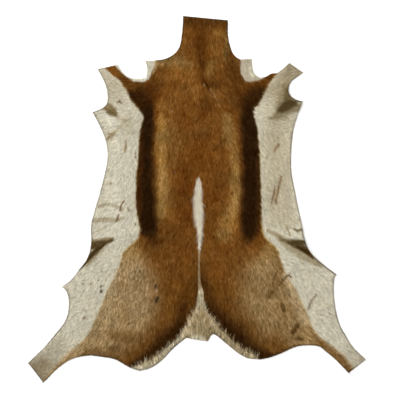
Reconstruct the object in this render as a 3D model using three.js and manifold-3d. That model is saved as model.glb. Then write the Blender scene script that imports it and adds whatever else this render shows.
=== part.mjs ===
// Springbok hide tanned with its hair on, lying hair side up.
// Millimetres, +Z up, neck towards +Y. The origin is on the surface, under the middle of the hide's box.

import * as THREE from "three";
import { mergeVertices } from "three/addons/utils/BufferGeometryUtils.js";
import Module from "manifold-3d";

const wasm = await Module();
wasm.setup();

// Driving dimensions
const BLANK_WIDTH = 1000; // the sheet that the outline is cut from
const BLANK_LENGTH = 1080;
const BLANK_STEP = 20; // grid step of the sheet's faces
const BACK_THICKNESS = 5; // skin and lying coat along the spine
const BELLY_THICKNESS = 3.4; // and on the thin-haired belly and legs
const BACK_HALF_WIDTH = 260; // the coat thins out from the spine to here
const CUTTER_DEPTH = 80; // the outline's prism, well above and below the sheet
const STEPS_PER_SPAN = 3; // straight steps between two outline points

// The cut outline, clockwise from the neck. Each edge starts at a sharp corner and runs smoothly
// through the points listed after it, up to the corner of the next edge.
const OUTLINE = [
  { edge: "neck cut", corner: [-39, 513], through: [] },
  { edge: "neck, right side", corner: [86, 501], through: [[86, 460], [94, 423], [105, 402]] },
  { edge: "right shoulder tab, top", corner: [121, 391], through: [] },
  { edge: "right shoulder tab, side", corner: [153, 393], through: [[155, 367], [163, 349]] },
  { edge: "right shoulder bay", corner: [177, 340], through: [[193, 343], [207, 351]] },
  { edge: "right foreleg, front", corner: [223, 352], through: [[242, 366]] },
  { edge: "right foreleg, cut end", corner: [258, 381], through: [] },
  {
    edge: "right armpit notch",
    corner: [297, 354],
    through: [[277, 340], [262, 327], [255, 306], [260, 289], [274, 279]],
  },
  {
    edge: "right belly",
    corner: [295, 273],
    through: [[280, 232], [268, 185], [263, 124], [264, 74], [275, 16], [291, -63], [301, -115], [317, -149], [349, -180]],
  },
  {
    edge: "right hind leg, outer side",
    corner: [390, -210],
    through: [[383, -228], [384, -284], [396, -343], [415, -380], [437, -415]],
  },
  { edge: "right hind leg, cut end", corner: [472, -448], through: [] },
  {
    edge: "right haunch",
    corner: [424, -486],
    through: [
      [387, -448], [359, -425], [337, -410], [282, -411], [232, -432], [187, -446],
      [148, -446], [118, -433], [83, -405], [51, -379],
    ],
  },
  { edge: "tail stub, side", corner: [38, -381], through: [] },
  { edge: "tail stub, cut end", corner: [30, -396], through: [] },
  {
    edge: "left haunch",
    corner: [-30, -388],
    through: [
      [-65, -416], [-93, -446], [-118, -466], [-141, -475], [-169, -477], [-197, -465],
      [-230, -447], [-264, -441], [-300, -437], [-345, -445], [-384, -468],
    ],
  },
  { edge: "left hind leg, cut end", corner: [-430, -513], through: [] },
  {
    edge: "left hind leg, outer side",
    corner: [-472, -458],
    through: [[-429, -416], [-394, -375], [-366, -337], [-358, -294], [-363, -262]],
  },
  {
    edge: "left belly",
    corner: [-376, -244],
    through: [
      [-351, -225], [-330, -198], [-306, -166], [-295, -125], [-296, -76], [-286, -34],
      [-269, 26], [-254, 88], [-250, 129], [-257, 171], [-274, 210],
    ],
  },
  {
    edge: "left armpit notch",
    corner: [-291, 243],
    through: [[-269, 251], [-252, 265], [-250, 295], [-258, 326]],
  },
  { edge: "left foreleg, cut end", corner: [-277, 364], through: [] },
  { edge: "left shoulder bay", corner: [-222, 376], through: [[-199, 346], [-173, 337], [-157, 338]] },
  { edge: "left shoulder tab, side", corner: [-142, 339], through: [[-139, 362]] },
  { edge: "left shoulder and neck", corner: [-143, 387], through: [[-113, 389], [-86, 394], [-59, 411], [-46, 436], [-40, 483]] },
];

// Puckers and waves, where the skin stands off the surface. Each is a soft ridge, highest along the
// line from its start to its end, and down to nothing at half its width.
const PUCKERS = [
  { place: "left armpit", start: [-268, 258], end: [-200, 218], width: 96, rise: 9 },
  { place: "right armpit", start: [262, 280], end: [205, 232], width: 110, rise: 10 },
  { place: "left groin", start: [-304, -150], end: [-216, -108], width: 104, rise: 10 },
  { place: "right groin", start: [334, -164], end: [240, -112], width: 104, rise: 10 },
  { place: "left belly, front wave", start: [-262, 184], end: [-222, 186], width: 70, rise: 4 },
  { place: "left belly, rear wave", start: [-292, -48], end: [-214, -28], width: 80, rise: 5 },
  { place: "right belly, rear wave", start: [300, -84], end: [250, -70], width: 80, rise: 5 },
  { place: "left haunch wave", start: [-170, -470], end: [-150, -430], width: 80, rise: 3 },
];

// Tufts, where the coat lies deeper than round about.
const TUFTS = [
  { place: "crest", start: [6, 30], end: [6, -240], width: 64, rise: 4 },
  { place: "rump", start: [6, -290], end: [2, -376], width: 110, rise: 4 },
  { place: "left rump fringe", start: [-40, -376], end: [-160, -462], width: 70, rise: 2.5 },
  { place: "right rump fringe", start: [50, -366], end: [150, -436], width: 70, rise: 2.5 },
];

// Height of one soft ridge at a point of the plan
function ridgeHeight(ridge, x, y) {
  const [startX, startY] = ridge.start;
  const alongX = ridge.end[0] - startX;
  const alongY = ridge.end[1] - startY;
  const reach = ((x - startX) * alongX + (y - startY) * alongY) / (alongX ** 2 + alongY ** 2);
  const share = THREE.MathUtils.clamp(reach, 0, 1);
  const distance = Math.hypot(x - startX - share * alongX, y - startY - share * alongY);
  const closeness = Math.max(0, 1 - (distance / (ridge.width / 2)) ** 2);
  return ridge.rise * closeness ** 2;
}

function highestRidge(ridges, x, y) {
  return Math.max(...ridges.map((ridge) => ridgeHeight(ridge, x, y)));
}

function thicknessAt(x, y) {
  const fromSpine = THREE.MathUtils.smoothstep(Math.abs(x), 0, BACK_HALF_WIDTH);
  return THREE.MathUtils.lerp(BACK_THICKNESS, BELLY_THICKNESS, fromSpine) + highestRidge(TUFTS, x, y);
}

// The uncut sheet: flat underneath but for the puckers, and as thick as skin and coat together
function makeBlank() {
  const blank = new THREE.BoxGeometry(
    BLANK_WIDTH,
    BLANK_LENGTH,
    1,
    BLANK_WIDTH / BLANK_STEP,
    BLANK_LENGTH / BLANK_STEP,
    1,
  );
  const position = blank.attributes.position;
  for (let i = 0; i < position.count; i += 1) {
    const x = position.getX(i);
    const y = position.getY(i);
    const isTop = position.getZ(i) > 0;
    const lift = highestRidge(PUCKERS, x, y);
    position.setZ(i, isTop ? lift + thicknessAt(x, y) : lift);
  }
  return blank;
}

// The outline as a tall prism, to cut the sheet with
function makeCutter() {
  const outline = new THREE.Shape();
  outline.moveTo(...OUTLINE[0].corner);
  OUTLINE.forEach((edge, index) => {
    const nextCorner = OUTLINE[(index + 1) % OUTLINE.length].corner;
    if (edge.through.length === 0) {
      outline.lineTo(...nextCorner);
    } else {
      outline.splineThru([...edge.through, nextCorner].map(([x, y]) => new THREE.Vector2(x, y)));
    }
  });
  const cutter = new THREE.ExtrudeGeometry(outline, {
    depth: CUTTER_DEPTH,
    steps: 1,
    curveSegments: STEPS_PER_SPAN,
    bevelEnabled: false,
  });
  return cutter.translate(0, 0, -CUTTER_DEPTH / 2);
}

function toSolid(geometry) {
  geometry.deleteAttribute("normal");
  geometry.deleteAttribute("uv");
  const merged = mergeVertices(geometry, 1e-4);
  return new wasm.Manifold(
    new wasm.Mesh({
      numProp: 3,
      vertProperties: new Float32Array(merged.attributes.position.array),
      triVerts: new Uint32Array(merged.index.array),
    }),
  );
}

function toGeometry(solid) {
  const mesh = solid.getMesh();
  const geometry = new THREE.BufferGeometry();
  geometry.setAttribute("position", new THREE.BufferAttribute(mesh.vertProperties, mesh.numProp));
  geometry.setIndex(new THREE.BufferAttribute(mesh.triVerts, 1));
  geometry.computeVertexNormals();
  return geometry;
}

function makeHide() {
  const solid = toSolid(makeBlank()).intersect(toSolid(makeCutter()));
  const coat = new THREE.MeshStandardMaterial({ color: 0x8c6436, roughness: 0.85, metalness: 0 });
  const hide = new THREE.Mesh(toGeometry(solid), coat);
  hide.name = "hide";
  return hide;
}

const springbokHide = new THREE.Group();
springbokHide.add(makeHide());

export default springbokHide;
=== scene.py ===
"""Springbok hide tanned with its hair on, laid hair side up on a pale floor.

Sizes and places are in millimetres, where no comment says otherwise: x is to the right of the spine and
y towards the neck, as in the CAD model.
Colours in the tables are sRGB, from 0 to 255, as the lit coat should look from above.
"""

import itertools

import bmesh
import bpy
import numpy as np
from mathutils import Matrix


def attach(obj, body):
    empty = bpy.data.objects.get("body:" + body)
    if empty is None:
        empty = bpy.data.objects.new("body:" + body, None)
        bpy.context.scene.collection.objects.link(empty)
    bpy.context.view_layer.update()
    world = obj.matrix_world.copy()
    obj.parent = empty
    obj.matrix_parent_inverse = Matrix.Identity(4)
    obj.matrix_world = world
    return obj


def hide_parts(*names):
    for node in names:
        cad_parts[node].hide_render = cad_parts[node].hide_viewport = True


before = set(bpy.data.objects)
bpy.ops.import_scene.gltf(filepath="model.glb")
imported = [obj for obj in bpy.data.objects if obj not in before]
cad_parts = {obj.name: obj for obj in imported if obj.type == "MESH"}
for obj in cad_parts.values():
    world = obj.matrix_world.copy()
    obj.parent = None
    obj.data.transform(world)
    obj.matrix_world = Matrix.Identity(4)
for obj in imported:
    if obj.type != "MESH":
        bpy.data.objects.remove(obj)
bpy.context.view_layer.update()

MM = 0.001
SEED = 41

# The skin under the hair
SKIN_THICKNESS = 1.2
SKIN_CUTS = 2  # each edge of the CAD underside is cut into one more than this
SMOOTHINGS = 6
WELD = 1e-6  # metres
UPRIGHT = 0.3  # a face whose normal rises less than this is part of the cut edge
# The skin's hair side is painted in the coat's colour but darker, as painted shade under the hair
UNDERCOAT_SHADE = 0.85  # how bright the skin's hair side is beside the hair

# The hair
HAIRS_PER_MM2 = 0.425
HAIR_WIDTH = 1.05
HAIR_RIDGE = 0.9  # how high a hair's root stands, beside half its width
HAIR_LIFT = 14  # degrees off the skin
LIFT_SPREAD = 5  # degrees
TURN_SPREAD = 9  # degrees
LENGTH_SPREAD = 0.18
MOST_SPREAD = (-2, 2)  # the lift's and the length's spreads stay within this many times their values
WIDTH_UNEVEN = (0.8, 1.2)
ROOT_DEPTH = 0.1
LOWEST = 0.2  # no hair starts or ends lower than this above the floor
# Roots are painted darker, as painted shade between the hairs, and tips lighter, as painted light on them
ROOT_PAINTED_SHADE = 0.9
TIP_PAINTED_LIGHT = 1.04
GAIN = 1.165  # the hair is painted brighter by this, because it shades itself
CONTRAST = 0.975  # and a little flatter, because light bounces from hair to hair
MOST_HAIRS = 48000  # in a piece
CLUMP_SIZE = 6
CLUMP_PULL = 0.28
PULL_UNEVEN = (0.7, 1.3)
EDGE_OVERHANG = 1.5  # how far a tip may pass the cut edge
SHORTEST_SHARE = 0.25

# The white crest's longer hair
CREST_X = 6
CREST_REACH = 1.05
CREST_LENGTH = 20
CREST_FOOT = 9  # how long the hair is where the crest runs out
CREST_GROWTH = (-150, -70)  # it grows from the foot's length to the full one over this y
CREST_UNEVEN = (0.85, 1.15)
CREST_LIFT = 6  # degrees

# The locks round the pale rump. Ranges down the hide are distances below the origin.
LOCK_SIZE = 4.2
LOCK_START = (262, 315)
LOCK_BORDER = (-1, 0.5)  # they begin at the patch's border
LOCK_DEPTH = (21, 28)  # and end this deep in the patch
LOCK_STUB = 7  # how long the locks are at the top of the patch
LOCK_LENGTH = 14
LOCK_GROWTH = (275, 350)
LOCK_SHORTEST = 0.45
LOCK_UNEVEN = 0.12
WISP = 0.5  # every few locks are longer by this share
WISP_CHOICE = (0.5, 0.8)
STRAY = 0.9  # and a few single hairs by up to this one
LOCK_TURN = 162  # degrees, so that the locks point up the hide and outwards
LOCK_FLARE = 20  # and at the top of the rump more outwards by this
LOCK_FLARE_END = (320, 385)
LOCK_SPREAD = 12  # degrees
LOCK_PULL = 0.65
# The locks' roots are painted darker, as painted shade in the gaps between the locks, and their tips warmer
LOCK_ROOT_SHADE = 0.88
LOCK_TIP = (1.05, 1, 0.92)

# How a hair may differ from its neighbours. Most of the difference is grey.
OWN_COLOUR = 0.35
LUMINANCE = (0.3, 0.59, 0.11)
FAINTEST = 38  # dark hair varies as if it were lighter by this
OWN_RANGE = (-2.4, 1.5)
OWN_LIFT = 0.05
TONE_LIFT = 0.02

# Each kind of difference: its share on all hair, and what the fawn, the haunches and the rump add
TONE_SHARES = {
    "own": (0.075, 0.055, 0.035, 0.05),
    "clump": (0.02, 0.06, -0.02, 0.06),
    "short streaks": (0.05, 0.06, 0, 0),
    "long streaks": (0, 0.03, 0, 0),
    "flecks": (-0.04, -0.07, -0.02, 0),
    "specks": (-0.11, 0, 0, 0),
}

# Smooth random patterns, as (size in millimetres, strength, seed)
PATTERNS = {
    "lay": (45, 7, 1),
    "white border": (5, 1.6, 2),
    "white border, fine": (2.2, 1.2, 3),
    "drift across": (22, 4, 4),
    "drift along": (22, 4, 5),
    "fawn shade, wide": (60, 0.04, 6),
    "fawn shade": (26, 0.05, 7),
    "fawn shade, small": (12, 0.05, 18),
    "fawn warmth": (34, 0.5, 17),
    "fawn warmth, small": (13, 0.4, 19),
    "white shade": (40, 0.015, 8),
    "white shade, small": (14, 0.02, 9),
    "dust": (3.4, 1, 20),
    "dusty places": (42, 1, 21),
    "rump border": (5, 1.5, 10),
    "rump shade": (12, 0.05, 11),
    "rump shade, small": (3.4, 0.1, 22),
    "tuft border": (4, 1.2, 12),
    "cut edge": (60, 0.4, 13),
    "short streaks": (2.4, 1, 14),
    "long streaks": (6, 1, 15),
    "flecks": (3.2, 1, 16),
    "specks": (2, 1, 23),
}
LATTICE = 256  # the patterns repeat after this many of their sizes
CLUMP_LATTICE = 512
STREAK_GAIN = 1.4

# Where each kind of stroke is still full and where it is gone, in half widths
FAWN_RIM = (0.35, 1.3)
WHITE_RIM = (0.2, 1.4)
RUMP_STROKE_RIM = (0.4, 1.3)
TUFT_RIM = (0.8, 1.15)
MARK_RIM = (0.45, 1.3)
SPOT_RIM = (0.35, 1.15)
SPOT_STRENGTH = 0.9

# Tinges, as shares of red, green and blue
FAWN_TINGE = (1.02, 0.995, 0.88)  # makes up for the white light on the brown hair
BORDER_TINGE = (0.98, 0.92, 0.72)  # where white hair thins out over brown
WARMING = (0.025, -0.02, -0.14)  # what a warm patch adds to them
HAUNCH_CALM = 0.6  # the haunches have less of the fawn's small patches
HAUNCH_FRAY = 0.7  # and less of the tinge at the border
RUMP_FRAY = 0.5

# The dust on the white hair, and the dark line along the cut: the leather's edge and painted shadow
DUST_SHARE = 0.45
DUST_RANGE = (0.45, 0.8)
DUSTY_RANGE = (-0.1, 0.6)
CUT_LINE = (0.8, 2.8)
CUT_STRENGTH = 0.5
CUT_TUFTS = (0.9, 1.8)  # it fades on the tufts, in their half widths

# The haunches and the pale rump
HAUNCH_BELOW = (110, 190)
HAUNCH_ASIDE = (60, 120)
RUMP_RIM_DEPTH = (6, 20)
RUMP_SOFTNESS = 1.5
RUMP_FAR = 60  # the depth that stands for well outside the patch
RUMP_TONE_DEPTH = (-1, 3)
FLECK_RANGE = (0.3, 0.85)
SPECK_RANGE = (0.6, 1.2)

# How finely the lay, the tables and the cut edge are worked out
LAY_CENTRE = 25  # the lay turns outwards over this distance from the spine
NEAR_BLUR = 20
BORDER_STEP = 4
EDGE_BATCH = 4000  # places compared with the cut edge at a time

# The materials' noise
NOISE_RANGE = (0.25, 0.75)  # what nearly all of the noise's values lie between
RAMP_ENDS = (0.3, 0.7)  # where in the noise the two colours are full
NAP_DEPTH = 0.0006  # metres

# The floor, the light and the camera, in metres, but the lens and the sensor
FLOOR_HALF = 6
FLOOR_DROP = 0.0005
FLOOR_WHITE = (0.93, 0.93, 0.92, 1)
SKY_STRENGTH = 0.75
SOFTBOX_SIZE = 2.2
SOFTBOX_POWER = 75  # watts
SOFTBOX_PLACE = (-1.1, 1.3, 2.2)
SOFTBOX_TILT = (-28, -26, 0)  # degrees
CAMERA_PLACE = (0.0084, -0.0022, 2.644)
CAMERA_LENS = 85
CAMERA_SENSOR = 36
CAMERA_REACH = 50

# Colours of the coat
FAWN = (111, 70, 25)
NECK_DARK = (76, 45, 13)
NECK_PALE = (140, 109, 65)
NECK_LIGHT = (126, 91, 45)
NECK_ORANGE = (130, 87, 37)
SIDE_DARK = (88, 54, 17)
NAPE = (84, 48, 12)
SPINE_DARK = (86, 50, 13)
BACK_RED = (98, 57, 15)
BACK_BROWN = (103, 62, 18)
FLANK_LIGHT = (128, 88, 40)
GOLD = (147, 113, 63)
DULL_GOLD = (132, 99, 54)
SHOULDER_BROWN = (80, 45, 11)
LEG_BROWN = (92, 56, 17)
SHOULDER = (52, 28, 5)
BAND = (39, 21, 4)
BAND_EDGE = (78, 42, 8)
BAND_FOOT = (60, 35, 8)
BAND_OUTER = (66, 37, 9)
LEFT_HAUNCH = (156, 130, 89)
RIGHT_HAUNCH = (143, 115, 72)
HAUNCH_PALE = (166, 143, 104)
HAUNCH_BROWN = (121, 91, 51)
INNER_BROWN = (106, 68, 23)
INNER_DARK = (52, 28, 5)
HAUNCH_MARK = (72, 47, 18)
WHITE = (199, 193, 174)
LIT_WHITE = (206, 201, 184)
TAB = (180, 170, 148)
FORELEG = (187, 178, 155)
BULGE_HIGHLIGHT = (214, 209, 192)
DUSTY = (166, 153, 124)
YELLOWISH_SHADE = (184, 174, 148)
LEG_END = (140, 127, 99)
FOOT_BROWN = (124, 92, 52)
CREST = (210, 204, 186)
PARTING = (160, 139, 103)
TAIL_END = (196, 186, 160)
NECK_SIDE = (114, 80, 41)
NECK_CORNER = (168, 145, 110)
NECK_EDGE = (112, 84, 44)
INNER_LIGHT = (116, 77, 30)
RUMP = (150, 133, 98)
RUMP_RIM = (182, 170, 142)
STRIP_PALE = (197, 189, 164)
STRIP_DULL = (166, 153, 122)
ARMPIT = (138, 124, 91)
OLIVE = (106, 91, 58)
OLIVE_DARK = (76, 60, 32)
GROIN_HAZE = (155, 141, 109)
GROIN_BROWN = (128, 108, 70)
GROIN_TAN = (86, 64, 32)
GROIN_DARK = (66, 48, 20)
GROIN_BLACK = (62, 40, 12)
STAIN = (150, 127, 90)
SMEAR_AND_CREASE_SHADE = (164, 151, 121)
SCAB = (104, 72, 38)
SCRATCH = (92, 58, 30)
SPECK = (38, 31, 22)
HAUNCH_SCAB = (58, 47, 32)
PALE = (168, 152, 124)
SCAR = (140, 108, 66)
HOLE = (152, 128, 94)
HOLE_SHADOW = (58, 30, 5)
CUT_EDGE_AND_SHADOW = (58, 45, 27)
FLESH_PALE = (214, 200, 176)
FLESH_YELLOW = (188, 168, 136)
CUT_DARK = (66, 50, 30)
CUT_PALE = (120, 98, 66)

# Where the white underside begins, going down the hide, as (y, x, half the width of the change)
LEFT_BELLY = [
    (365, -254, 2.5), (354, -243, 2.5), (345, -233, 2.5), (337, -222, 2.5), (329, -213, 2.5),
    (320, -206, 2.5), (312, -200, 2.5), (303, -195, 3), (295, -191, 3), (287, -188, 3), (278, -184, 3),
    (256, -165, 3), (243, -156, 2.5), (231, -147, 2.5), (224, -148, 2.5), (206, -155, 2.5),
    (186, -160, 2.5), (130, -163, 3), (54, -169, 3), (-16, -171, 3), (-41, -167, 3.5), (-63, -162, 4.5),
    (-88, -158, 5), (-105, -161, 6), (-121, -174, 5), (-133, -190, 4), (-144, -203, 4), (-161, -209, 4),
    (-186, -216, 4), (-220, -232, 4), (-282, -262, 4), (-343, -286, 5), (-368, -297, 6), (-394, -316, 7),
    (-416, -341, 8), (-443, -372, 9), (-472, -398, 10), (-503, -423, 10),
]
RIGHT_BELLY = [
    (354, 225, 2.5), (339, 212, 2.5), (329, 204, 2.5), (320, 198, 2.5), (311, 194, 3), (303, 190.5, 3),
    (295, 186, 3), (287, 184.5, 3), (278, 179, 3), (267, 171, 3), (257, 161, 2.5), (245, 157, 2.5),
    (228, 160, 2.5), (206, 166, 2.5), (183, 170, 2.5), (110, 176, 3), (26, 178, 3), (-58, 180, 3.5),
    (-83, 181, 4.5), (-105, 187, 5), (-119, 201, 5), (-130, 216, 4), (-144, 226, 4), (-164, 230, 4),
    (-209, 247, 5), (-256, 277, 5), (-318, 305, 6), (-366, 324, 6), (-382, 337, 7), (-399, 359, 7),
    (-437, 407, 7), (-475, 439, 7),
]

# The pale rump lies between these two lines of (y, x) points and the cut edge below them.
RUMP_LEFT = [
    (-234, 8), (-241, 6), (-254, 3), (-282, 0), (-310, -6), (-336, -17), (-358, -32), (-384, -47),
    (-403, -69), (-423, -91), (-443, -116), (-456, -140), (-465, -162), (-470, -181), (-473, -196),
]
RUMP_RIGHT = [
    (-234, 8), (-241, 11), (-254, 17), (-282, 20), (-293, 24), (-310, 27), (-327, 36), (-353, 53),
    (-373, 75), (-396, 100), (-413, 118), (-427, 138), (-435, 157), (-443, 172),
]


def stroke(place, tone, strength, *line):
    """A soft stroke of one tone along a line, whose points are (x, y, half width)."""
    return {"place": place, "tone": tone, "strength": strength, "line": line}


def spots(place, tone, *places):
    """Small round spots of one tone, each given as (x, y, half width)."""
    return [stroke(place, tone, SPOT_STRENGTH, (x, y, size), (x, y - 1, size)) for x, y, size in places]


# Soft tones of the fawn coat
FAWN_TONES = [
    stroke("neck, darker top", NECK_DARK, 0.75, (-37, 502, 14), (50, 497, 14), (88, 494, 22)),
    stroke("neck, light left edge", NECK_LIGHT, 0.4, (-36, 444, 11), (-42, 408, 14)),
    stroke(
        "neck, pale corner", NECK_PALE, 0.9,
        (-116, 382, 10), (-94, 381, 17), (-55, 384, 24), (-26, 374, 20),
    ),
    stroke("neck, right edge", NECK_EDGE, 0.9, (86, 470, 10), (84, 430, 12), (78, 398, 10)),
    stroke("withers, light left", NECK_ORANGE, 0.6, (-38, 322, 20), (-34, 292, 20)),
    stroke("neck, beside the right tab", NECK_SIDE, 0.8, (103, 392, 11), (110, 378, 12), (112, 364, 8)),
    stroke("neck, palest corner", NECK_CORNER, 0.9, (-117, 386, 8), (-119, 368, 7), (-121, 354, 5)),
    stroke(
        "neck, light left", NECK_ORANGE, 0.95,
        (-72, 352, 22), (-28, 352, 26), (-12, 326, 24), (-6, 294, 18),
    ),
    stroke("neck, light right", NECK_LIGHT, 0.55, (62, 463, 15), (58, 435, 18), (52, 408, 16)),
    stroke("neck, light right below", NECK_LIGHT, 0.9, (38, 381, 14), (36, 352, 14)),
    stroke(
        "neck, dark right side", SIDE_DARK, 0.9,
        (90, 404, 10), (98, 372, 20), (110, 346, 30), (110, 315, 32), (110, 285, 26), (106, 266, 16),
    ),
    stroke("nape, upper", NAPE, 0.85, (12, 500, 24), (8, 432, 22), (12, 402, 16), (15, 378, 9)),
    stroke("nape, line", NAPE, 0.8, (15, 378, 8), (17, 350, 7.5), (18, 334, 8)),
    stroke("withers, dark", SIDE_DARK, 0.6, (22, 325, 10), (44, 318, 12), (60, 326, 10)),
    stroke("withers, light", NECK_ORANGE, 0.8, (32, 300, 11), (56, 292, 12)),
    stroke("withers, reddish", BACK_RED, 0.8, (12, 271, 18), (34, 264, 16), (16, 240, 18)),
    stroke("shoulder, light left", FLANK_LIGHT, 0.5, (-96, 268, 12), (-78, 262, 16), (-60, 290, 14)),
    stroke("middle of back", BACK_BROWN, 0.8, (8, 160, 26), (4, 110, 36), (-20, 70, 28)),
    stroke(
        "beside crest, left", BACK_RED, 0.95,
        (-32, 75, 26), (-36, 0, 28), (-28, -44, 18), (-22, -70, 11),
    ),
    stroke("beside crest, right", BACK_BROWN, 0.4, (50, 90, 22), (56, 45, 26), (50, 0, 22), (46, -40, 14)),
    stroke(
        "left light, above the patch", FLANK_LIGHT, 0.7,
        (-108, 276, 14), (-92, 250, 16), (-84, 232, 16),
    ),
    stroke(
        "left light patch", FLANK_LIGHT, 0.75,
        (-78, 216, 18), (-66, 184, 28), (-62, 150, 24), (-66, 124, 12),
    ),
    stroke("left light side", FLANK_LIGHT, 0.7, (-82, 105, 14), (-82, 20, 16), (-76, -44, 20)),
    stroke(
        "left golden stripe", GOLD, 1,
        (-97, 236, 8), (-97, 205, 17), (-97, 180, 20), (-98, 150, 18), (-99, 100, 16), (-98, 45, 19),
        (-98, 0, 18), (-96, -38, 17),
    ),
    stroke(
        "right golden stripe, upper", DULL_GOLD, 0.95,
        (84, 236, 14), (86, 205, 22), (90, 175, 22), (100, 140, 18), (106, 100, 18),
    ),
    stroke(
        "right golden stripe, lower", GOLD, 0.9,
        (108, 84, 14), (109, 45, 20), (106, 0, 20), (100, -28, 20),
    ),
    stroke("right golden stripe, foot", GOLD, 0.75, (98, -36, 24), (84, -66, 30), (74, -96, 28)),
    stroke("left shoulder, upper brown", LEG_BROWN, 0.7, (-130, 338, 16), (-105, 326, 18)),
    stroke("left shoulder, brown", SHOULDER_BROWN, 0.95, (-152, 318, 18), (-132, 301, 28), (-126, 284, 24)),
    stroke(
        "left foreleg, brown strip", LEG_BROWN, 0.95,
        (-214, 341, 8), (-200, 331, 10), (-188, 320, 12), (-160, 316, 15),
    ),
    stroke(
        "left shoulder, dark", SHOULDER, 1,
        (-180, 290, 22), (-160, 284, 33), (-148, 266, 32), (-142, 244, 24),
    ),
    stroke("right foreleg, brown strip", LEG_BROWN, 0.95, (196, 340, 10), (184, 327, 12), (166, 320, 14)),
    stroke("right shoulder, brown", SHOULDER_BROWN, 0.9, (160, 312, 18), (132, 302, 22), (124, 280, 16)),
    stroke(
        "right shoulder, dark", SHOULDER, 1,
        (180, 304, 17), (168, 292, 30), (154, 274, 36), (150, 252, 34),
    ),
    stroke(
        "left flank band, reddish edge", BAND_EDGE, 1,
        (-163, 200, 10), (-163, 138, 11), (-167, 54, 12), (-168, -16, 13), (-160, -58, 14), (-152, -90, 12),
    ),
    stroke("left flank band, foot", BAND_FOOT, 0.6, (-134, -70, 30), (-122, -112, 24)),
    stroke(
        "left flank band", BAND, 1,
        (-138, 244, 22), (-137, 222, 21), (-141, 190, 24), (-144, 152, 25), (-144, 110, 25), (-142, 54, 25),
        (-141, -2, 26), (-138, -44, 27), (-132, -80, 25),
    ),
    stroke(
        "left flank band, outer side", BAND_OUTER, 0.7,
        (-158, 190, 9), (-159, 130, 10), (-160, 40, 10), (-158, -40, 10),
    ),
    stroke("right flank band, foot", BAND_FOOT, 0.6, (150, -80, 28), (140, -108, 24)),
    stroke(
        "right flank band, outer side", BAND_OUTER, 0.8,
        (171, 190, 7), (174, 120, 8), (176, 20, 8), (178, -40, 8),
    ),
    stroke(
        "right flank band", BAND, 1,
        (149, 238, 33), (147, 205, 33), (148, 170, 30), (151, 120, 28), (150, 54, 28), (149, -2, 28),
        (150, -44, 30), (148, -72, 29), (146, -88, 26),
    ),
    stroke(
        "left haunch, grizzled", LEFT_HAUNCH, 1,
        (-192, -146, 40), (-186, -200, 60), (-188, -245, 88), (-194, -290, 102), (-206, -330, 100),
        (-242, -366, 80), (-290, -400, 56), (-345, -430, 44), (-395, -468, 34),
    ),
    stroke(
        "left haunch, pale edge", HAUNCH_PALE, 0.95,
        (-224, -200, 14), (-238, -232, 22), (-254, -262, 30), (-264, -292, 34), (-274, -322, 34),
        (-284, -345, 24),
    ),
    stroke(
        "left haunch, browner below", HAUNCH_BROWN, 0.85,
        (-236, -378, 16), (-205, -386, 28), (-165, -382, 22),
    ),
    stroke(
        "left haunch, browner edge", HAUNCH_BROWN, 0.7,
        (-320, -438, 9), (-285, -424, 12), (-254, -426, 15), (-215, -422, 22), (-190, -424, 18),
    ),
    stroke(
        "right haunch, grizzled", RIGHT_HAUNCH, 1,
        (206, -150, 34), (192, -203, 64), (190, -245, 86), (200, -290, 96), (226, -335, 90),
        (264, -368, 64), (302, -392, 46),
    ),
    stroke(
        "right haunch, pale edge", HAUNCH_PALE, 1,
        (250, -214, 16), (266, -246, 23), (280, -276, 27), (293, -306, 29), (306, -340, 24),
    ),
    stroke(
        "left inner haunch, brown", INNER_BROWN, 0.9,
        (4, -185, 24), (0, -240, 58), (-3, -270, 74), (-10, -318, 80), (-40, -371, 78), (-69, -396, 76),
        (-97, -422, 72), (-124, -441, 64), (-160, -458, 48),
    ),
    stroke(
        "left inner haunch, lighter", INNER_LIGHT, 0.8,
        (-62, -248, 22), (-68, -296, 26), (-84, -336, 18),
    ),
    stroke(
        "left inner haunch, darker", INNER_DARK, 0.7,
        (4, -205, 12), (-2, -238, 24), (-8, -268, 30), (-12, -300, 38),
    ),
    stroke(
        "left inner haunch, dark", INNER_DARK, 1,
        (-6, -302, 42), (-12, -321, 46), (-24, -346, 46), (-40, -371, 45), (-69, -396, 43), (-97, -422, 42),
        (-124, -441, 36), (-150, -454, 25), (-178, -465, 14),
    ),
    stroke(
        "right inner haunch, brown", INNER_BROWN, 0.9,
        (12, -196, 26), (16, -245, 48), (19, -270, 68), (30, -300, 76), (38, -321, 80), (51, -346, 80),
        (76, -371, 80), (104, -396, 76), (132, -422, 70), (165, -438, 74), (205, -440, 68),
    ),
    stroke("right inner haunch, darker", INNER_DARK, 0.55, (12, -212, 14), (17, -250, 26), (20, -284, 36)),
    stroke(
        "right inner haunch, dark", INNER_DARK, 1,
        (26, -314, 28), (38, -326, 40), (51, -346, 44), (76, -371, 47), (104, -396, 47), (132, -422, 44),
        (162, -436, 38), (192, -442, 26), (217, -438, 14),
    ),
    stroke("right foot, dark strip", FOOT_BROWN, 1, (366, -416, 22), (400, -444, 25), (433, -478, 25)),
]

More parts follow.
